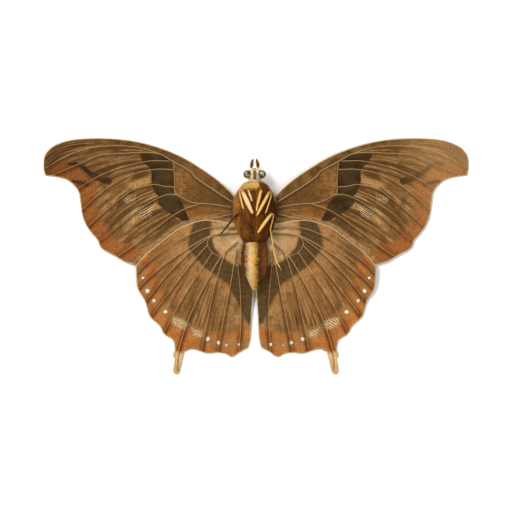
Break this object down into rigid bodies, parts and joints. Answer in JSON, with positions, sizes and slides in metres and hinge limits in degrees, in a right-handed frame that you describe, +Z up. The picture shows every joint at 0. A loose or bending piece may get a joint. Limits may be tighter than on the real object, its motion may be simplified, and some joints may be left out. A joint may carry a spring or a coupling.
{
  "type": "leafwing butterfly specimen",
  "caption": "Dried brown leafwing butterfly lying on its back, underside up, with spread wings, hooked tips, scalloped margins and blunt tails.",
  "frame": {"origin": "on the surface that the butterfly lies on, under the middle of its outline", "axes": "+X across the wings towards the wing on the right seen from above, +Y towards the head, +Z up out of the underside"},
  "size_m": [0.1, 0.0555, 0.0088],
  "materials": {
    "forewing_brown": "dry scaled membrane, brown with dark bands and rust margins",
    "hindwing_brown": "dry scaled membrane, rust brown with white spots near the margin",
    "chest_hair": "short brown hair",
    "abdomen_gold": "golden scales, darker on one side",
    "head_cream": "cream scales",
    "eye_olive": "glossy dark olive",
    "palp_brown": "brown scales",
    "leg_cream": "pale gold scaled shell",
    "leg_brown": "dark brown scaled shell"
  },
  "bodies": {
    "root": {"thorax": "chest_hair", "abdomen": "abdomen_gold", "head": "head_cream", "eye_left": "eye_olive", "eye_right": "eye_olive", "palp_left": "palp_brown", "palp_right": "palp_brown", "proboscis": "palp_brown", "antenna_left": "leg_cream", "antenna_right": "leg_cream", "forewing_left": "forewing_brown", "forewing_right": "forewing_brown", "hindwing_left": "hindwing_brown", "hindwing_right": "hindwing_brown", "foreleg_left": "leg_cream", "foreleg_right": "leg_cream", "midleg_left": "leg_cream", "midleg_right": "leg_cream", "hindleg_left": "leg_brown", "hindleg_right": "leg_cream"}
  },
  "joints": []
}
